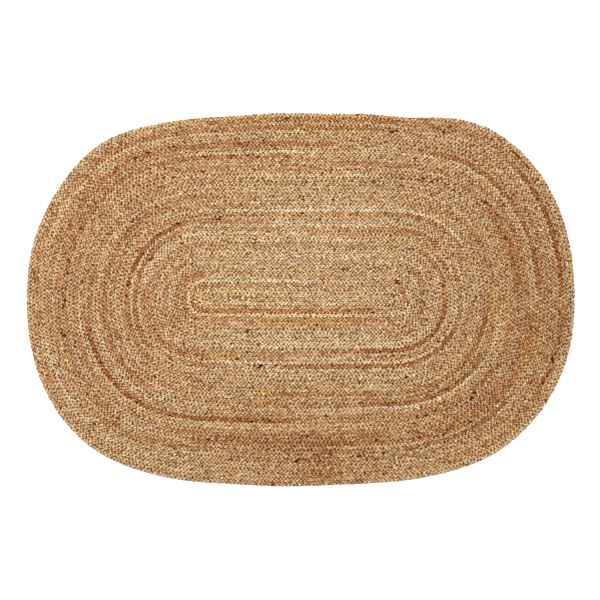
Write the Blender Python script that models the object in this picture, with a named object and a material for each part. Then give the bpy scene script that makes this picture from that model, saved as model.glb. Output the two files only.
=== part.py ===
"""An oval rug, made as a rug maker lays it: one long braid wound flat round a short straight core.

Metres, +Z up. The origin is under the middle of the rug's box, on the surface that it lies on.
The long side runs along X. Seen from above the braid winds outwards anticlockwise from the right-hand
end of the core, and its tapered tail lies on the far edge, right of the middle.
"""
from math import cos, exp, pi, sin

import bmesh
import bpy
from mathutils import Vector

# Driving dimensions
CORE_HALF = 0.308           # half of the straight run that the coil starts round
ROW_WIDTH = 0.0125          # one lap of the braid, measured across it
THICKNESS = 0.008           # to the top of the braid
GROOVE_DEPTH = 0.0026       # how far two laps dip where they are laced together
RIM_HEIGHT = 0.0042         # the widest line of the outermost lap
UNDER_INSET = 0.0016        # the underside stops this far inside that line

# How finely the coil is drawn
END_STEPS = 20              # stations round each rounded end
RUN_STEPS = 8               # stations along each straight side
LAP = 2 * (END_STEPS + RUN_STEPS)
START = END_STEPS // 2      # the braid begins where the far straight side begins
LAPS = 48                   # laps between its beginning and its tail, one outside the other
TAIL_STEPS = 2              # stations over which the tail narrows to nothing
TAIL = START + LAPS * LAP
MEAN_ROWS = TAIL / LAP      # laps between the core and the rim, on average
GROWTH = 2                  # the inner laps are even, and each unevenness grows towards the rim

# Where the laps were pulled tight or let out. Bearings are degrees from the core's middle,
# anticlockwise from +X; out is metres at the rim; spread is degrees.
UNEVEN = (
    # bearing, out, spread
    (3, -0.016, 11),
    (45, 0.041, 21),
    (56, -0.032, 8),
    (96, 0.014, 11),
    (130, -0.014, 8),
    (139, 0.024, 10),
    (181, -0.014, 10),
    (216, 0.018, 11),
    (227, -0.014, 13),
    (265, 0.007, 11),
    (306, -0.015, 9),
)

JUTE_COLOUR = (0.462, 0.266, 0.130, 1.0)
JUTE_ROUGHNESS = 0.95


def core_ray(station):
    """The point on the core that a station looks out from, and the direction it looks in."""
    step = station % LAP
    quarter = END_STEPS // 2
    if step <= quarter:
        turned, along = step / END_STEPS, 1.0
    elif step <= quarter + RUN_STEPS:
        turned, along = 0.5, 1.0 - 2.0 * (step - quarter) / RUN_STEPS
    elif step <= quarter + RUN_STEPS + END_STEPS:
        turned, along = (step - RUN_STEPS) / END_STEPS, -1.0
    elif step <= LAP - quarter:
        turned, along = 1.5, 1.0 - 2.0 * (LAP - quarter - step) / RUN_STEPS
    else:
        turned, along = (step - 2 * RUN_STEPS) / END_STEPS, 1.0
    outward = Vector((cos(pi * turned), sin(pi * turned), 0.0))
    return Vector((along * CORE_HALF, 0.0, 0.0)), outward


def row_scale(station, rows):
    """How wide the laps lie along this ray, out to some row, compared with their mean width."""
    core, outward = core_ray(station)
    even_reach = ROW_WIDTH * MEAN_ROWS
    even_rim = core + even_reach * outward
    bearing = Vector((1.0, 0.0)).angle_signed(even_rim.to_2d()) * -180.0 / pi
    extra = 0.0
    for centre, out, spread in UNEVEN:
        off = (bearing - centre + 180.0) % 360.0 - 180.0
        extra += out * exp(-0.5 * (off / spread) ** 2)
    return 1.0 + extra / even_reach * (rows / MEAN_ROWS) ** GROWTH


def place(station, rows, height):
    """A point some rows out from the core, on the ray of a station."""
    core, outward = core_ray(station)
    point = core + outward * (rows * ROW_WIDTH * row_scale(station, rows))
    point.z = height
    return point


def braid_width(station):
    """The braid's width at a station, in rows. Its tail narrows smoothly to nothing."""
    left = min((TAIL - station) / TAIL_STEPS, 1.0)
    return left * left * (3.0 - 2.0 * left)


def inner_edge(station):
    """Rows from the core to the side of the braid that faces it."""
    return station / LAP - 0.5


def coil_mesh():
    """The braid's laps as one closed skin: a crest along each lap and a groove between laps."""
    bm = bmesh.new()
    first_groove = LAP // 2 + START
    groove = {}
    for station in range(first_groove, TAIL + LAP):
        turned_back = station - LAP
        rows = inner_edge(station)
        if turned_back >= START:
            rows = inner_edge(turned_back) + braid_width(turned_back)
        height = THICKNESS - GROOVE_DEPTH if station < TAIL else RIM_HEIGHT
        groove[station] = bm.verts.new(place(station, rows, height))
    groove[TAIL + LAP] = groove[TAIL]
    for station in range(START, first_groove):
        # the first lap turns back on itself, and shares one seam with itself along the core
        groove[station] = groove[max(LAP - station, first_groove)]

    crest = {}
    for station in range(START, TAIL):
        width = braid_width(station)
        rows = inner_edge(station) + width / 2.0
        height = THICKNESS - GROOVE_DEPTH * (1.0 - width)
        crest[station] = bm.verts.new(place(station, rows, height))
    crest[TAIL] = groove[TAIL]

    for station in range(START, TAIL):
        ahead = station + 1
        skin(bm, groove[station], groove[ahead], crest[ahead], crest[station])
        skin(bm, crest[station], crest[ahead], groove[ahead + LAP], groove[station + LAP])
    for station in range(LAP - START, LAP + START):
        # the braid's blunt beginning, rounded over
        skin(bm, crest[START], groove[station], groove[station + 1])

    rim = [groove[station] for station in range(TAIL, TAIL + LAP)]
    under = []
    for station, vert in zip(range(TAIL, TAIL + LAP), rim):
        low = vert.co - UNDER_INSET * core_ray(station)[1]
        low.z = 0.0
        under.append(bm.verts.new(low))
    for index in range(LAP):
        after = (index + 1) % LAP
        skin(bm, rim[index], rim[after], under[after], under[index])
    bm.faces.new(under)
    return bm


def skin(bm, *corners):
    """One face on the given corners, leaving out a corner that repeats its neighbour."""
    kept = [vert for index, vert in enumerate(corners) if vert is not corners[index - 1]]
    if len(kept) > 2:
        bm.faces.new(kept)


def centre_on_origin(bm):
    """Move the rug so that the middle of its box, seen from above, is at the origin."""
    for axis in (0, 1):
        places = [vert.co[axis] for vert in bm.verts]
        middle = (min(places) + max(places)) / 2.0
        for vert in bm.verts:
            vert.co[axis] -= middle


def jute():
    material = bpy.data.materials.new("jute_braid")
    material.use_nodes = True
    finish = material.node_tree.nodes["Principled BSDF"]
    finish.inputs["Base Color"].default_value = JUTE_COLOUR
    finish.inputs["Roughness"].default_value = JUTE_ROUGHNESS
    finish.inputs["Metallic"].default_value = 0.0
    return material


def build_rug():
    bm = coil_mesh()
    centre_on_origin(bm)
    bmesh.ops.recalc_face_normals(bm, faces=bm.faces)
    mesh = bpy.data.meshes.new("braided_rug")
    bm.to_mesh(mesh)
    bm.free()
    mesh.materials.append(jute())
    rug = bpy.data.objects.new("braided_rug", mesh)
    bpy.context.scene.collection.objects.link(rug)
    return rug


for old in list(bpy.data.objects):
    bpy.data.objects.remove(old, do_unlink=True)
build_rug()
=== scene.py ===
"""An oval jute rug: three strands plaited into one long flat braid, wound flat round a short core.

Metres, +Z up. The braid is first plaited straight along X, then wound: X becomes the way round the
coil, Y the way across a lap. Seen from above it winds outwards anticlockwise.
"""

from math import atan2, ceil, cos, pi, sin

import bmesh
import bpy
import numpy as np
from mathutils import Matrix


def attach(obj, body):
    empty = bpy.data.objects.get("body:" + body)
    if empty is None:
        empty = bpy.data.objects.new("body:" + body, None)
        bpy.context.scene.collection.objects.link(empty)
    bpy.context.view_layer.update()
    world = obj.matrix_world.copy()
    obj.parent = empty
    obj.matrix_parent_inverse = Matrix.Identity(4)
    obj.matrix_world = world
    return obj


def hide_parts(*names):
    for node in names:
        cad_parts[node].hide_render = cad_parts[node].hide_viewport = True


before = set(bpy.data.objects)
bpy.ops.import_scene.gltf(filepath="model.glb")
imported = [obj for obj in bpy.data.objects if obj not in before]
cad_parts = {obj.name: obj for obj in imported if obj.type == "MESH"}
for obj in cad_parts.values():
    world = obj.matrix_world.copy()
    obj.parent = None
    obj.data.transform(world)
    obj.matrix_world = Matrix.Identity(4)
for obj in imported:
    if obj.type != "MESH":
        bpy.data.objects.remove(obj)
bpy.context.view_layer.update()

MM = 0.001

# The coil, as the frame has it
CORE_HALF = 0.308           # half of the straight run that the coil starts round
ROW_WIDTH = 0.0125          # one lap of the braid, measured across it
END_STEPS = 20              # stations round each rounded end
RUN_STEPS = 8               # stations along each straight side
LAP = 2 * (END_STEPS + RUN_STEPS)
START = END_STEPS // 2      # the braid begins where the far straight side begins
LAPS = 48
TAIL_STEPS = 2              # stations over which the tail narrows
TAIL_END = 0.04             # of the strands' width that is left at the very end
TAIL_HEIGHT = 0.4           # and of the plait's height
TAIL = START + LAPS * LAP
MEAN_ROWS = TAIL / LAP      # laps between the core and the rim, on average
GROWTH = 2                  # each unevenness grows towards the rim by this power
WAY_POINTS = 8              # points in each station at which the braid's way is measured

# Where the laps bulge or draw in. Bearings are degrees from the core's middle, anticlockwise from +X;
# out is metres at the rim; spread is degrees. These rows came out of a least-squares fit to the rug's
# edge in the photo, and weren't set by hand.
UNEVEN = (
    # bearing, out, spread
    (3, -0.016, 11),
    (45, 0.041, 21),
    (56, -0.032, 8),
    (96, 0.014, 11),
    (130, -0.014, 8),
    (139, 0.024, 10),
    (181, -0.014, 10),
    (216, 0.018, 11),
    (227, -0.014, 13),
    (265, 0.007, 11),
    (306, -0.015, 9),
)

# Where the laps lie out of line halfway from the core to the rim, and less so on either side of that
WAVES = (
    # station, rows out, spread
    (1.0, -0.45, 1.6),
    (7.5, 0.20, 2.0),
    (22.0, 0.15, 2.0),
    (32.5, 0.60, 2.2),
    (37.5, -0.45, 1.6),
    (47.5, -0.30, 2.5),
)
CORE_ASIDE = 0.9            # rows that the core lies towards the far side of the rug's middle

# The braid
STRANDS = 3
STITCH = ROW_WIDTH          # how far on each strand comes over, after the one before it
REPEAT = STRANDS * STITCH
MIDDLE_HEIGHT = 4.0 * MM    # of the braid above the floor
SWING = 4.5 * MM            # how far each strand goes to either side
RISE = 2.1 * MM             # and above and below the middle
HALF_WIDTH = 3.6 * MM       # of a strand where it lies on top
HALF_THICKNESS = 1.9 * MM
STEPS = 10                  # sections of a strand in each repeat
SIDES = 4                   # of each section
NARROWED = 0.18             # how much narrower a strand is halfway between its top and its bottom
THICKENED = 0.05            # and how much thicker
STRETCHES = 5               # the long braid is kept as this many pieces
REPEAT_JOIN = 0.01 * MM     # points of neighbouring repeats this near each other are one

# How unevenly it was made. Each is the spread of a random value; a gap is metres of braid over which
# one changes, and the others change over half a repeat.
CREEP = 2.5 * MM            # how far stitches have crept along their lap
CREEP_GAP = 0.25
LOOSE = 1.0 * MM            # how far one stitch is pulled along its strand
FULLNESS = 0.07             # how much a strand's width differs
FULLNESS_GAP = 0.11
STITCH_FULLNESS = 0.06      # and how much more from stitch to stitch
STITCH_FLATNESS = 0.06      # how much its thickness differs
SIDEWAYS = 0.45 * MM        # how far it lies to either side of its way
LIFTED = 0.35 * MM          # and above or below it
WIDE_SWING = 0.04           # how much its swing differs
WIDE_SWING_GAP = 0.2


def srgb(red, green, blue):
    """A colour given as 0 to 255 on a screen, as a shader wants it."""
    scaled = (np.array((red, green, blue)) / 255.0).clip(0.0, 1.0)
    linear = np.where(scaled > 0.04045, ((scaled + 0.055) / 1.055) ** 2.4, scaled / 12.92)
    return (*linear.tolist(), 1.0)


# ---- the coil -----------------------------------------------------------------------------------

def core_ray(station):
    """How far along the core each station looks out from, and the direction it looks in."""
    step = np.mod(station, LAP)
    far_side = np.clip(step - END_STEPS / 2, 0, RUN_STEPS)
    near_side = np.clip(step - END_STEPS * 1.5 - RUN_STEPS, 0, RUN_STEPS)
    turned = (step - far_side - near_side) * pi / END_STEPS
    along = CORE_HALF * (1.0 - 2.0 * (far_side - near_side) / RUN_STEPS)
    return along, np.cos(turned), np.sin(turned)


def row_scale(station, rows):
    """How wide the laps lie along this ray, out to some row, compared with their mean width."""
    along, right, away = core_ray(station)
    even_reach = ROW_WIDTH * MEAN_ROWS
    bearing = np.degrees(np.arctan2(even_reach * away, along + even_reach * right))
    extra = np.zeros_like(bearing)
    for centre, out, spread in UNEVEN:
        off = (bearing - centre + 180.0) % 360.0 - 180.0
        extra += out * np.exp(-0.5 * (off / spread) ** 2)
    return 1.0 + extra / even_reach * (rows / MEAN_ROWS) ** GROWTH


def wavering(station, rows):
    """Rows that the laps between the core and the rim lie out of line, where they were laced unevenly."""
    step = np.mod(station, LAP)
    out = np.zeros(step.shape)
    for centre, by, spread in WAVES:
        off = (step - centre + LAP / 2) % LAP - LAP / 2
        out += by * np.exp(-0.5 * (off / spread) ** 2)
    part = np.clip(rows / MEAN_ROWS, 0.0, 1.0)
    return out * 4.0 * part * (1.0 - part)


def place(station, rows):
    """Points some rows out from the core, on the rays of their stations."""
    along, right, away = core_ray(station)
    reach = (rows + wavering(station, rows)) * ROW_WIDTH * row_scale(station, rows)
    aside = CORE_ASIDE * ROW_WIDTH * (1.0 - np.clip(rows / MEAN_ROWS, 0.0, 1.0)) ** 3
    return np.stack((along + reach * right, reach * away + aside), axis=-1)


def braid_width(station):
    """The room that the braid takes across its lap, in rows. It shrinks to nothing at the tail."""
    left = np.clip((TAIL - station) / TAIL_STEPS, 0.0, 1.0)
    return left * left * (3.0 - 2.0 * left)


def centre_row(station):
    """Rows from the core to the braid's centre line."""
    return station / LAP - 0.5 + braid_width(station) / 2.0


last_lap = np.arange(TAIL - LAP, TAIL)
rim = place(last_lap, last_lap / LAP - 0.5 + braid_width(last_lap))
BOX_MIDDLE = (rim.min(axis=0) + rim.max(axis=0)) / 2.0

way_stations = np.linspace(START, TAIL, (TAIL - START) * WAY_POINTS + 1)
way_points = place(way_stations, centre_row(way_stations))
way_steps = np.hypot(*np.diff(way_points, axis=0).T)
way_lengths = np.concatenate(((0.0,), np.cumsum(way_steps)))


def nested_stitches():
    """The braid's length at each turn of the coil, with laps eased so that their stitches nest.

    Each straight run holds the same number of stitches and so does each rounded end, but for whole
    ones, so the stitches of every lap lie in the hollows of the lap inside it.
    """
    stations = [START]
    lengths = [0.0]
    straight_stitches = 2.0 * CORE_HALF / STITCH
    spare = (1.0 - straight_stitches % 1.0) % 1.0
    straight = True
    while stations[-1] < TAIL:
        begins = stations[-1]
        ends = begins + (RUN_STEPS if straight else END_STEPS)
        if straight:
            stitches = straight_stitches
        else:
            from_start, to_end = np.interp((begins, ends), way_stations, way_lengths)
            stitches = round((to_end - from_start) / STITCH - spare) + spare
        stations.append(ends)
        lengths.append(lengths[-1] + stitches * STITCH)
        straight = not straight
    turns = np.interp(stations, way_stations, way_lengths)
    return np.array(lengths), turns


eased_lengths, eased_turns = nested_stitches()
BRAID_LENGTH = eased_lengths[-1]


def station_at(along):
    """The station where each length of the braid lies."""
    return np.interp(np.interp(along, eased_lengths, eased_turns), way_lengths, way_stations)


def wind(points):
    """Points of the straight braid, moved to where they lie on the coil."""
    along, across, height = points.T
    together = np.zeros(len(along), dtype=int)
    station = station_at(along + CREEP * wander(along, together, CREEP_GAP, 10))
    width = braid_width(station)
    rows = centre_row(station) + across / ROW_WIDTH * np.maximum(width, TAIL_END)
    ground = place(station, rows) - BOX_MIDDLE
    lift = MIDDLE_HEIGHT + height * (TAIL_HEIGHT + (1.0 - TAIL_HEIGHT) * width)
    return np.column_stack((ground, np.maximum(lift, 0.0)))


# ---- chance, the same each time ---------------------------------------------------------------

def wander(along, lane, gap, seed):
    """A random value of spread 1 for each lane, which changes smoothly over each gap."""
    lanes = int(lane.max()) + 1
    knots = np.random.default_rng(seed).standard_normal((lanes, ceil(BRAID_LENGTH / gap) + 3))
    at = np.clip(along, 0.0, BRAID_LENGTH) / gap
    low = at.astype(int)
    part = at - low
    part = part * part * (3.0 - 2.0 * part)
    mixed = knots[lane, low] * (1.0 - part) + knots[lane, low + 1] * part
    return mixed / np.sqrt(part ** 2 + (1.0 - part) ** 2)


# ---- the strands --------------------------------------------------------------------------------

def strand_way(turn):
    """How far across and how high a strand is, at some turn of its path."""
    across = SWING * np.sin(turn)
    height = -RISE * np.sin(2.0 * turn)
    return across, height


def strand_section(strand, step):
    """Where a strand's section stands, how it is turned and how big it is."""
    turn = 2.0 * pi * (step / STEPS + strand / STRANDS)
    across, height = strand_way(turn)
    heading = atan2(SWING * 2.0 * pi / REPEAT * cos(turn), 1.0)
    flattened = abs(sin(2.0 * turn))
    size = Matrix.Diagonal((
        1.0,
        HALF_WIDTH * (1.0 - NARROWED * (1.0 - flattened)),
        HALF_THICKNESS * (1.0 + THICKENED * (1.0 - flattened)),
        1.0,
    ))
    spot = Matrix.Translation((REPEAT * step / STEPS, float(across), float(height)))
    return spot @ Matrix.Rotation(heading, 4, "Z") @ size


def put_in_order(bm, spots):
    """Put a mesh's points, edges and faces in an order that is the same at every run.

    The points go by the numbers in spots, and the edges and faces by their first and last points.
    """
    def first_and_last(item):
        indices = [vert.index for vert in item.verts]
        return min(indices) * len(spots) + max(indices)

    bm.verts.sort(key=spots.get)
    bm.verts.index_update()
    bm.edges.sort(key=first_and_last)
    bm.faces.sort(key=first_and_last)


def plaited_repeat():
    """One repeat of the three strands, laid straight."""
    bm = bmesh.new()
    strand_mark = bm.verts.layers.int.new("strand")
    side_mark = bm.verts.layers.int.new("side")
    spots = {}
    upright = Matrix.Rotation(pi / 2.0, 4, "Y")
    for strand in range(STRANDS):
        first = strand_section(strand, 0) @ upright
        ring = bmesh.ops.create_circle(bm, segments=SIDES, radius=1.0, matrix=first)["verts"]
        for side, vert in enumerate(ring):
            vert[strand_mark] = strand
            vert[side_mark] = side
            spots[vert] = strand * (STEPS + 1) * SIDES + side
        edges = list(dict.fromkeys(edge for vert in ring for edge in vert.link_edges))
        for step in range(1, STEPS + 1):
            added = bmesh.ops.extrude_edge_only(bm, edges=edges)["geom"]
            ring = [item for item in added if isinstance(item, bmesh.types.BMVert)]
            edges = [item for item in added if isinstance(item, bmesh.types.BMEdge)]
            move = strand_section(strand, step) @ strand_section(strand, step - 1).inverted()
            bmesh.ops.transform(bm, matrix=move, verts=ring)
            for vert in ring:
                spots[vert] = (strand * (STEPS + 1) + step) * SIDES + vert[side_mark]
    put_in_order(bm, spots)
    bmesh.ops.recalc_face_normals(bm, faces=bm.faces)
    mesh = bpy.data.meshes.new("plaited repeat")
    bm.to_mesh(mesh)
    bm.free()
    return mesh


def laid_end_to_end(name, repeat, count):
    """An object of many repeats joined end to end, with the strands' ends closed."""
    piece = bpy.data.objects.new(name, repeat)
    bpy.context.scene.collection.objects.link(piece)
    row = piece.modifiers.new("repeats", "ARRAY")
    row.count = count
    row.use_relative_offset = False
    row.use_constant_offset = True
    row.constant_offset_displace = (REPEAT, 0.0, 0.0)
    row.use_merge_vertices = True
    row.merge_threshold = REPEAT_JOIN
    laid = piece.evaluated_get(bpy.context.evaluated_depsgraph_get())
    mesh = bpy.data.meshes.new_from_object(laid)
    mesh.name = name
    piece.modifiers.remove(row)
    piece.data = mesh
    bm = bmesh.new()
    bm.from_mesh(mesh)
    bmesh.ops.holes_fill(bm, edges=[edge for edge in bm.edges if edge.is_boundary], sides=SIDES)
    bm.to_mesh(mesh)
    bm.free()
    mesh.shade_smooth()
    return piece


def read(data, field, width, kind=float):
    """All values of one field of a mesh's elements, a row for each."""
    values = np.empty(len(data) * width, dtype=kind)
    data.foreach_get(field, values)
    return values.reshape(-1, width) if width > 1 else values


def unevenly_made(points, along, strand):
    """The strands' own small differences in width, thickness and lie."""
    turn = 2.0 * pi * (along / REPEAT + strand / STRANDS)
    across, height = strand_way(turn)
    off_across = points[:, 1] - across
    off_height = points[:, 2] - height
    fullness = 1.0 + FULLNESS * wander(along, strand, FULLNESS_GAP, 11)
    fullness += STITCH_FULLNESS * wander(along, strand, REPEAT / 2, 12)
    flatness = 1.0 + STITCH_FLATNESS * wander(along, strand, REPEAT / 2, 13)
    aside = SIDEWAYS * wander(along, strand, REPEAT / 2, 14)
    lift = LIFTED * wander(along, strand, REPEAT / 2, 15)
    pulled = LOOSE * wander(along, strand, REPEAT / 2, 17)
    swing = 1.0 + WIDE_SWING * wander(along, strand, WIDE_SWING_GAP, 16)
    return np.column_stack((
        along + pulled,
        across * swing + off_across * fullness + aside,
        height + off_height * flatness + lift,
    ))


def braid_stretch(number, repeat):
    """One stretch of the long braid, wound on the coil, coloured and mapped."""
    repeats = BRAID_LENGTH / REPEAT
    first = round(repeats * number / STRETCHES)
    last = round(repeats * (number + 1) / STRETCHES)
    piece = laid_end_to_end(f"braid_stretch_{number + 1}", repeat, last - first)
    mesh = piece.data
    points = read(mesh.vertices, "co", 3)
    strand = read(mesh.attributes["strand"].data, "value", 1, int)
    side = read(mesh.attributes["side"].data, "value", 1, int)
    along = points[:, 0] + first * REPEAT
    made = unevenly_made(points, along, strand)
    wound = wind(made)
    add_maps(mesh, points[:, 0], along, strand, side)
    colour_jute(mesh, along, made[:, 1], strand, side, wound)
    mesh.vertices.foreach_set("co", wound.ravel())
    mesh.attributes.remove(mesh.attributes["strand"])
    mesh.attributes.remove(mesh.attributes["side"])
    mesh.update()
    return piece


def add_maps(mesh, local, along, strand, side):
    """A map along and round each strand in metres, and one that shows each face in its own cell."""
    corners = read(mesh.loops, "vertex_index", 1, int)
    starts = read(mesh.polygons, "loop_start", 1, int)
    totals = read(mesh.polygons, "loop_total", 1, int)
    face = np.repeat(np.arange(len(starts)), totals)
    corner_along = local[corners]
    face_along = np.bincount(face, corner_along) / totals
    corner_side = side[corners]
    lowest = np.minimum.reduceat(corner_side, starts)
    wraps = (np.maximum.reduceat(corner_side, starts) == SIDES - 1) & (lowest == 0)
    corner_side = np.where(wraps[face] & (corner_side == 0), SIDES, corner_side)

    girth = SIDES * np.hypot(HALF_WIDTH, HALF_THICKNESS)
    yarn = mesh.uv_layers.new(name="Yarn")
    lane = strand[corners] * 2.0 * girth
    metres = np.column_stack((along[corners], lane + corner_side * girth / SIDES))
    yarn.data.foreach_set("uv", metres.ravel())

    step_length = REPEAT / STEPS
    face_step = np.floor(face_along / step_length).astype(int)
    steps = face_step.max() + 1
    columns = ceil((steps * STRANDS * SIDES) ** 0.5)
    bands = ceil(steps / columns)
    face_side = np.where(wraps, SIDES - 1, lowest)
    face_strand = strand[corners[starts]]
    column = face_step % columns
    band = (face_strand * bands + face_step // columns) * SIDES + face_side
    ahead = corner_along > face_along[face]
    inset = 0.08
    u = column[face] + np.where(ahead, 1.0 - inset, inset)
    v = band[face] + np.where(corner_side > face_side[face], 1.0 - inset, inset)
    cells = np.column_stack((u / columns, v / (bands * STRANDS * SIDES)))
    bake = mesh.uv_layers.new(name="OFBake")
    bake.data.foreach_set("uv", cells.ravel())


# ---- colour -------------------------------------------------------------------------------------

# Stretches of the braid that were plaited from darker, redder or paler jute. Lap and stations say
# where; strand is one of the three, or ALL. Tone and red are steps up or down.
ALL = -1
STREAKS = (
    # lap, begins, ends, strand, tone, red
    (0, 34, 43, 1, -0.10, 0.4),
    (2, 50, 56, ALL, -0.05, 0.3),
    (3, 0, 6, ALL, -0.06, 0.5),
    (3, 18, 22, ALL, -0.05, 0.1),
    (3, 22, 25, ALL, -0.10, 0.4),
    (3, 30, 46, ALL, -0.07, 0.4),
    (4, 4, 11, ALL, -0.05, 0.4),
    (4, 13, 56, ALL, 0.03, -0.3),
    (5, 0, 9, ALL, 0.03, -0.3),
    (5, 11, 16, ALL, -0.06, 0.3),
    (5, 18, 46, ALL, -0.07, 0.4),
    (6, 18, 26, ALL, -0.06, 0.2),
    (7, 46, 50, 1, -0.16, 0.0),
    (7, 52, 56, ALL, -0.07, 0.1),
    (8, 0, 8, ALL, -0.06, 0.2),
    (9, 2, 9, ALL, -0.06, 0.2),
    (9, 17, 23, ALL, 0.05, -0.2),
    (9, 46, 54, ALL, -0.06, 0.1),
    (10, 21, 35, ALL, -0.06, 0.2),
    (11, 7, 10, ALL, -0.08, 0.0),
    (11, 38, 52, ALL, 0.07, 0.0),
    (12, 3, 7, ALL, -0.06, 0.2),
    (12, 38, 50, ALL, 0.06, 0.0),
    (13, 44, 56, ALL, -0.09, 0.1),
    (15, 26, 42, ALL, -0.11, 0.2),
    (15, 44, 53, ALL, -0.06, 0.1),
    (16, 1, 5, ALL, -0.08, 0.3),
    (16, 26, 34, ALL, -0.07, 0.2),
    (17, 5, 14, ALL, -0.09, 0.3),
    (17, 36, 39, ALL, -0.10, 0.1),
    (17, 41, 54, ALL, -0.12, 0.3),
    (18, 5, 10, ALL, -0.09, 0.3),
    (18, 20, 33, ALL, -0.07, 0.2),
    (20, 15, 34, ALL, -0.10, 0.1),
    (20, 20, 26, ALL, -0.07, 0.2),
    (20, 44, 49, ALL, 0.06, 0.0),
    (22, 4, 24, ALL, -0.06, 0.2),
    (23, 4, 19, ALL, 0.06, 0.0),
    (24, 15, 20, ALL, -0.06, 0.0),
    (24, 21, 38, ALL, -0.08, 0.1),
    (24, 40, 56, ALL, -0.10, 0.2),
    (26, 20, 35, ALL, -0.10, 0.1),
    (27, 34, 38, ALL, 0.06, 0.0),
    (27, 44, 53, ALL, -0.12, 0.0),
    (28, 44, 56, ALL, 0.08, 0.0),
    (29, 19, 24, ALL, -0.06, 0.0),
    (29, 25, 30, 1, -0.10, -0.3),
    (31, 29, 42, ALL, -0.15, 0.0),
    (31, 47, 56, ALL, -0.06, 0.1),
    (32, 10, 20, ALL, 0.05, 0.0),
    (33, 0, 5, ALL, -0.06, 0.2),
    (34, 0, 7, ALL, -0.08, 0.2),
    (35, 7, 13, ALL, -0.06, 0.1),
    (35, 36, 56, ALL, -0.07, 0.2),
    (36, 0, 8, ALL, -0.07, 0.2),
    (36, 38, 56, ALL, -0.08, 0.3),
    (37, 14, 34, ALL, -0.09, 0.1),
    (37, 37, 56, ALL, -0.13, 0.1),
    (38, 13, 19, ALL, 0.07, 0.0),
    (38, 52, 56, ALL, -0.06, 0.4),
    (39, 0, 9, ALL, -0.13, 0.1),
    (39, 29, 34, ALL, 0.06, 0.0),
    (39, 46, 52, ALL, -0.10, 0.0),
    (40, 12, 26, ALL, -0.11, 0.1),
    (40, 29, 36, ALL, -0.08, 0.1),
    (43, 29, 36, ALL, 0.07, 0.0),
    (44, 9, 24, ALL, -0.08, 0.1),
    (44, 51, 56, ALL, -0.07, 0.1),
    (45, 0, 6, ALL, -0.11, 0.1),
    (46, 9, 18, ALL, -0.08, 0.2),
)

# Broad areas that are paler or darker, where they are on the rug
PATCHES = (
    # x, y, spread, tone
    (-0.02, 0.02, 0.26, 0.045),
    (0.05, 0.26, 0.16, 0.025),
    (0.02, -0.50, 0.17, -0.035),
    (0.08, -0.55, 0.05, -0.070),
    (0.78, 0.02, 0.16, -0.040),
    (-0.62, 0.10, 0.20, -0.010),
    (0.60, -0.30, 0.12, -0.015),
)

MEAN_TONE = 0.61
GROOVE_SHADE_FROM = 4.4 * MM      # across a lap, where painted shade begins, as strands dip beside the next lap
GROOVE_SHADE_OVER = 3.0 * MM      # from there to where the painted shade is darkest
GROOVE_PAINTED_SHADE = 0.06          # how much darker the painted shade makes them there
STREAK_STRENGTH = 1.05      # how much of each streak's tone is used
STREAK_FADE = 0.8           # stations over which a streak begins or ends
RARE_FROM = 2.3             # where the chances of dark jute begin to count
RARE_OVER = 0.9             # and how far beyond that they count in full
RARE_TONE = 0.75            # how much darker that jute is
DARK_RED = 1.6              # how much redder jute is for its tone below the mean

# What chance does to the jute: whose chance it is, how much it does, metres of braid over which it
# changes, and its seed
BRAID, STRAND, PLY = range(3)   # all the strands together, one strand, or one side of one
TONE_CHANCES = (
    (BRAID, 0.024, 2.0, 21),
    (BRAID, 0.010, 0.3, 22),
    (STRAND, 0.025, 1.1, 23),
    (STRAND, 0.010, REPEAT / 2, 24),
    (PLY, 0.065, REPEAT / 3, 25),
    (PLY, 0.050, REPEAT / STEPS, 35),
)
RED_CHANCES = (
    (BRAID, 0.06, 0.8, 26),
    (STRAND, 0.10, 0.35, 28),
    (PLY, 0.26, REPEAT / 2, 29),
)
GOLD_CHANCES = (
    (BRAID, 0.15, 0.7, 30),
    (STRAND, 0.25, 0.3, 31),
    (PLY, 0.32, REPEAT / 2, 32),
)
RARE_CHANCES = (
    (STRAND, 0.5, REPEAT / 3, 27),
    (PLY, 0.9, REPEAT / 3, 36),
    (BRAID, 0.6, 0.22, 34),
)
# Chances that make the painted shade between strands deeper in some gaps than in others
PAINTED_SHADE_CHANCES = (
    (PLY, 0.16, REPEAT / STEPS, 33),
)


def chances(along, lanes, table):
    """What all of a table's chances do at each point."""
    total = np.zeros(len(along))
    for whose, much, gap, seed in table:
        total += much * wander(along, lanes[whose], gap, seed)
    return total


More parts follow.
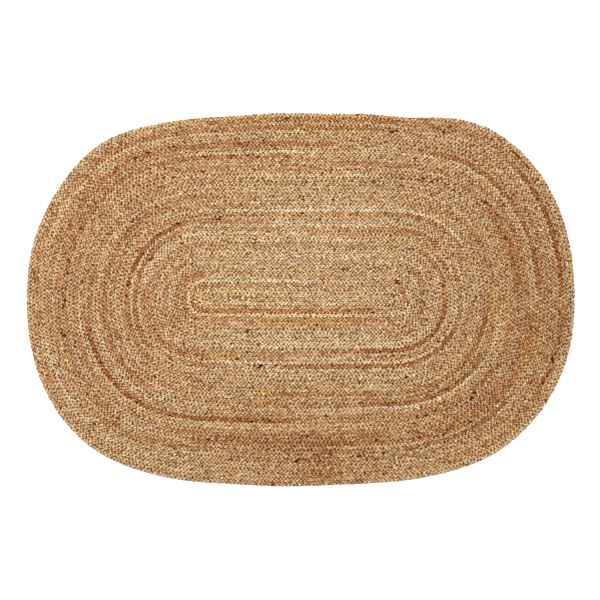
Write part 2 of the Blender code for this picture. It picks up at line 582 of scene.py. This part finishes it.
def colour_jute(mesh, along, across, strand, side, wound):
    """Give each point its jute's tone, with painted shade in the grooves between laps, its redness and
    gold, and how far it lies from the braid's middle, which sets the painted shade between strands.
    """
    lanes = (np.zeros_like(strand), strand, strand * SIDES + side)
    station = station_at(along)
    tone = MEAN_TONE + chances(along, lanes, TONE_CHANCES)
    # Painted shade: strands darker where they dip into the groove beside the next lap
    tone -= GROOVE_PAINTED_SHADE * np.clip((np.abs(across) - GROOVE_SHADE_FROM) / GROOVE_SHADE_OVER, 0.0, 1.0)
    red = chances(along, lanes, RED_CHANCES)
    gold = chances(along, lanes, GOLD_CHANCES)
    for lap, begins, ends, which, change, reddening in STREAKS:
        inside = np.clip((station - lap * LAP - begins) / STREAK_FADE, 0.0, 1.0)
        inside *= np.clip((lap * LAP + ends - station) / STREAK_FADE, 0.0, 1.0)
        if which != ALL:
            inside *= strand == which
        tone += STREAK_STRENGTH * change * inside
        red += reddening * inside
    for x, y, spread, change in PATCHES:
        away = (wound[:, 0] - x) ** 2 + (wound[:, 1] - y) ** 2
        tone += change * np.exp(-0.5 * away / spread ** 2)
    rare = chances(along, lanes, RARE_CHANCES)
    tone -= RARE_TONE * np.clip((rare - RARE_FROM) / RARE_OVER, 0.0, 1.0)
    # How far each point lies from the braid's middle, made uneven by chance: the nearer the middle, the
    # more painted shade between strands
    height = np.abs(wound[:, 2] - MIDDLE_HEIGHT) / MIDDLE_HEIGHT
    height += chances(along, lanes, PAINTED_SHADE_CHANCES)
    red += DARK_RED * (MEAN_TONE - tone)
    for name, values in (("tone", tone), ("red", red), ("gold", gold), ("height", height)):
        layer = mesh.attributes.new(name, "FLOAT", "POINT")
        layer.data.foreach_set("value", values.astype(np.float32))


JUTE_SHADES = (
    # tone, colour
    (0.10, srgb(54, 16, 4)),
    (0.27, srgb(118, 58, 22)),
    (0.35, srgb(140, 85, 44)),
    (0.47, srgb(163, 122, 78)),
    (0.55, srgb(176, 143, 99)),
    (0.63, srgb(188, 161, 119)),
    (0.74, srgb(203, 183, 144)),
    (0.85, srgb(217, 202, 167)),
)
RED_TINTS = (
    # place from least to most red, what the colour is multiplied by
    (0.0, (0.95, 1.04, 1.06, 1.0)),
    (0.5, (1.0, 1.0, 1.0, 1.0)),
    (1.0, (1.08, 0.82, 0.68, 1.0)),
)
GOLD_TINTS = (
    # place from least to most golden, what the colour is multiplied by
    (0.0, (0.97, 1.0, 1.22, 1.0)),
    (1.0, (1.03, 1.0, 0.78, 1.0)),
)
# Painted shade: the dark browns of the sheet inside the braid, which shows where the strands part
GROUND_PAINTED_SHADES = (
    # place from darkest to palest, colour
    (0.0, srgb(40, 22, 10)),
    (1.0, srgb(96, 62, 34)),
)
PAINTED_GAP_SHADE = (0.24, 0.08, 0.02, 1.0)      # painted shade: what the colour is multiplied by, deep between strands
FIBRE_SCALE = (90.0, 1100.0, 1.0)       # fibre marks in each metre, along and round a strand
FIBRE_RELIEF = 0.3 * MM


def node(tree, kind, inputs=None, **settings):
    """A new shader node, with its settings and the values of its inputs."""
    made = tree.nodes.new(kind)
    for key, value in settings.items():
        setattr(made, key, value)
    for name, value in (inputs or {}).items():
        made.inputs[name].default_value = value
    return made


def colour_ramp(tree, shades):
    """A node that turns a value into the colour that lies there among the shades."""
    made = node(tree, "ShaderNodeValToRGB")
    elements = made.color_ramp.elements
    for spot, colour in shades[2:]:
        elements.new(spot)
    for element, (spot, colour) in zip(elements, shades):
        element.position = spot
        element.color = colour
    return made


def tinted(tree, colour, name, tints):
    """A colour multiplied by the tint that an attribute from -1 to 1 chooses."""
    link = tree.links.new
    value = node(tree, "ShaderNodeAttribute", attribute_name=name)
    spot = node(tree, "ShaderNodeMapRange", {"From Min": -1.0, "From Max": 1.0})
    tint = colour_ramp(tree, tints)
    mixed = node(tree, "ShaderNodeMix", {"Factor": 1.0}, data_type="RGBA", blend_type="MULTIPLY")
    link(value.outputs["Fac"], spot.inputs["Value"])
    link(spot.outputs["Result"], tint.inputs["Fac"])
    link(colour, mixed.inputs["A"])
    link(tint.outputs["Color"], mixed.inputs["B"])
    return mixed.outputs["Result"]


def matt_material(name, roughness, shine):
    """A new matt material, with its node tree and its finish."""
    material = bpy.data.materials.new(name)
    material.use_nodes = True
    finish = material.node_tree.nodes["Principled BSDF"]
    finish.inputs["Roughness"].default_value = roughness
    finish.inputs["Specular IOR Level"].default_value = shine
    return material, material.node_tree, finish


def jute_strands():
    """Dry jute yarn: its tones from dark brown to straw, fine fibres, and painted shade between strands.
    """
    material, tree, finish = matt_material("jute strands", 0.95, 0.15)
    link = tree.links.new

    yarn = node(tree, "ShaderNodeUVMap", uv_map="Yarn")
    stretched = node(tree, "ShaderNodeMapping", {"Scale": FIBRE_SCALE})
    link(yarn.outputs["UV"], stretched.inputs["Vector"])
    grain = {"Scale": 1.0, "Detail": 3.0, "Roughness": 0.65}
    fibres = node(tree, "ShaderNodeTexNoise", grain, noise_dimensions="2D")
    link(stretched.outputs["Vector"], fibres.inputs["Vector"])

    tone = node(tree, "ShaderNodeAttribute", attribute_name="tone")
    fibre_range = {"From Min": 0.25, "From Max": 0.75, "To Min": -0.30, "To Max": 0.22}
    fibre_tone = node(tree, "ShaderNodeMapRange", fibre_range)
    link(fibres.outputs["Fac"], fibre_tone.inputs["Value"])
    summed = node(tree, "ShaderNodeMath", operation="ADD")
    link(tone.outputs["Fac"], summed.inputs[0])
    link(fibre_tone.outputs["Result"], summed.inputs[1])
    jute = colour_ramp(tree, JUTE_SHADES)
    link(summed.outputs["Value"], jute.inputs["Fac"])
    redder = tinted(tree, jute.outputs["Color"], "red", RED_TINTS)
    golden = tinted(tree, redder, "gold", GOLD_TINTS)

    # Painted shade: jute that lies deep in the braid, near its middle, is multiplied by a dark red-brown
    height = node(tree, "ShaderNodeAttribute", attribute_name="height")
    painted_shade_amount = node(tree, "ShaderNodeMapRange", {"From Min": 0.70, "From Max": 0.05})
    link(height.outputs["Fac"], painted_shade_amount.inputs["Value"])
    shaded = node(tree, "ShaderNodeMix", {"B": PAINTED_GAP_SHADE}, data_type="RGBA", blend_type="MULTIPLY")
    link(golden, shaded.inputs["A"])
    link(painted_shade_amount.outputs["Result"], shaded.inputs["Factor"])
    link(shaded.outputs["Result"], finish.inputs["Base Color"])

    relief = node(tree, "ShaderNodeBump", {"Strength": 0.5, "Distance": FIBRE_RELIEF})
    link(fibres.outputs["Fac"], relief.inputs["Height"])
    link(relief.outputs["Normal"], finish.inputs["Normal"])
    return material


# ---- the ground the strands lie in ----------------------------------------------------------------

RIM_INSET = 0.2             # rows that the ground stays inside the rim, under the outermost strands
GROUND_HALF = 0.3 * MM      # half of its thickness where two laps meet
GROUND_RIB = 0.3 * MM       # and how much more there is along the middle of a lap
GROUND_JOIN = 0.02 * MM     # its points this near each other are one
START_REACH = 2.0 * ROW_WIDTH   # how near the braid's start the ground's open edge there lies


def ground_sheet():
    """A thin ribbed sheet inside the braid, where its strands close up under one another."""
    bm = bmesh.new()
    count = TAIL - START
    bmesh.ops.create_grid(bm, x_segments=count, y_segments=2, size=1.0)
    bm.verts.ensure_lookup_table()
    flat = np.array([vert.co for vert in bm.verts])
    station = START + np.rint((flat[:, 0] + 1.0) / 2.0 * count)
    across = np.rint(flat[:, 1]) / 2.0
    width = braid_width(station)
    on_rim = (across > 0.0) & (station >= TAIL - LAP) | (station == TAIL)
    rows = centre_row(station) + across * width - np.where(on_rim, RIM_INSET, 0.0)
    first_seam = LAP // 2 + START
    turned_back = (across < 0.0) & (station < first_seam)
    other = np.maximum(LAP - station, first_seam)
    station_on = np.where(turned_back, other, station)
    rows = np.where(turned_back, other / LAP - 0.5, rows)
    ground = place(station_on, rows) - BOX_MIDDLE
    ribs = np.where(across == 0.0, GROUND_HALF + GROUND_RIB * width, GROUND_HALF)
    ribs = np.where(on_rim, 0.0, ribs)
    for vert, (x, y), rib in zip(bm.verts, ground, ribs):
        vert.co = (x, y, MIDDLE_HEIGHT + rib)
    bmesh.ops.remove_doubles(bm, verts=bm.verts, dist=GROUND_JOIN)
    begins_at = CORE_HALF - BOX_MIDDLE[0]
    gap = [
        edge for edge in bm.edges
        if edge.is_boundary and all(abs(vert.co.x - begins_at) < START_REACH
                                    and abs(vert.co.y + BOX_MIDDLE[1]) < START_REACH
                                    for vert in edge.verts)
    ]
    bmesh.ops.holes_fill(bm, edges=gap, sides=0)
    bmesh.ops.triangulate(bm, faces=[face for face in bm.faces if len(face.verts) > 4])
    bmesh.ops.mirror(
        bm, geom=bm.verts[:] + bm.edges[:] + bm.faces[:],
        matrix=Matrix.Translation((0.0, 0.0, -MIDDLE_HEIGHT)), axis="Z",
    )
    bmesh.ops.remove_doubles(bm, verts=bm.verts, dist=GROUND_JOIN)
    bmesh.ops.recalc_face_normals(bm, faces=bm.faces)
    mesh = bpy.data.meshes.new("ground_sheet")
    bm.to_mesh(mesh)
    bm.free()
    mesh.shade_smooth()
    piece = bpy.data.objects.new("ground_sheet", mesh)
    bpy.context.scene.collection.objects.link(piece)
    return piece


def shaded_jute():
    """Jute inside the braid, painted dark brown as the shade seen between the strands."""
    material, tree, finish = matt_material("shaded jute", 0.97, 0.1)
    spots = node(tree, "ShaderNodeTexCoord")
    fibres = node(tree, "ShaderNodeTexNoise", {"Scale": 700.0, "Detail": 3.0})
    tree.links.new(spots.outputs["Object"], fibres.inputs["Vector"])
    shades = colour_ramp(tree, GROUND_PAINTED_SHADES)
    tree.links.new(fibres.outputs["Fac"], shades.inputs["Fac"])
    tree.links.new(shades.outputs["Color"], finish.inputs["Base Color"])
    return material


# ---- the view -----------------------------------------------------------------------------------

def camera_above():
    """Straight down from far above, the whole rug in view and nearly in the middle."""
    picture = 600                   # pixels across
    rug_pixels = 549                # of them, along the rug
    rug_length = 1.80               # metres
    off_centre = (0.5, 0.5)         # pixels that the rug lies right of the middle and above it
    pixel = rug_length / rug_pixels
    lens = bpy.data.cameras.new("from above")
    lens.sensor_width = 36.0
    lens.lens = 120.0
    away = picture * pixel * lens.lens / lens.sensor_width
    camera = bpy.data.objects.new("from above", lens)
    camera.location = (-off_centre[0] * pixel, -off_centre[1] * pixel, away + 2.0 * MIDDLE_HEIGHT)
    bpy.context.scene.collection.objects.link(camera)
    bpy.context.scene.camera = camera


def pale_floor():
    """A wide, nearly white floor under the rug."""
    half_side = 6.0
    bm = bmesh.new()
    bmesh.ops.create_grid(bm, x_segments=1, y_segments=1, size=half_side)
    mesh = bpy.data.meshes.new("pale floor")
    bm.to_mesh(mesh)
    bm.free()
    floor = bpy.data.objects.new("pale floor", mesh)
    bpy.context.scene.collection.objects.link(floor)
    material = bpy.data.materials.new("pale floor")
    material.use_nodes = True
    finish = material.node_tree.nodes["Principled BSDF"]
    finish.inputs["Base Color"].default_value = (0.93, 0.93, 0.93, 1.0)
    finish.inputs["Roughness"].default_value = 0.9
    mesh.materials.append(material)


def soft_light():
    """Even white light from all round, and a large softbox up on the far left."""
    world = bpy.data.worlds.new("studio")
    world.use_nodes = True
    sky = world.node_tree.nodes["Background"]
    sky.inputs["Color"].default_value = (1.0, 1.0, 1.0, 1.0)
    sky.inputs["Strength"].default_value = 1.2
    bpy.context.scene.world = world
    lamp = bpy.data.lights.new("softbox", "AREA")
    lamp.shape = "DISK"
    lamp.size = 3.0
    lamp.energy = 200.0
    softbox = bpy.data.objects.new("softbox", lamp)
    softbox.location = (-1.6, 2.2, 3.6)
    softbox.rotation_euler = (-0.53, -0.36, 0.0)
    bpy.context.scene.collection.objects.link(softbox)


# ---- making it ----------------------------------------------------------------------------------

camera_above()
pale_floor()
soft_light()
bpy.context.scene.view_settings.view_transform = "Standard"

strand_jute = jute_strands()
one_repeat = plaited_repeat()
stretches = [braid_stretch(number, one_repeat) for number in range(STRETCHES)]
for stretch in stretches:
    stretch.data.materials.append(strand_jute)
    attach(stretch, "root")
    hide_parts("braided_rug")

ground = ground_sheet()
# The sheet inside the braid carries painted shade, dark brown for the shade seen between strands
ground.data.materials.append(shaded_jute())
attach(ground, "root")
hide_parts("braided_rug")
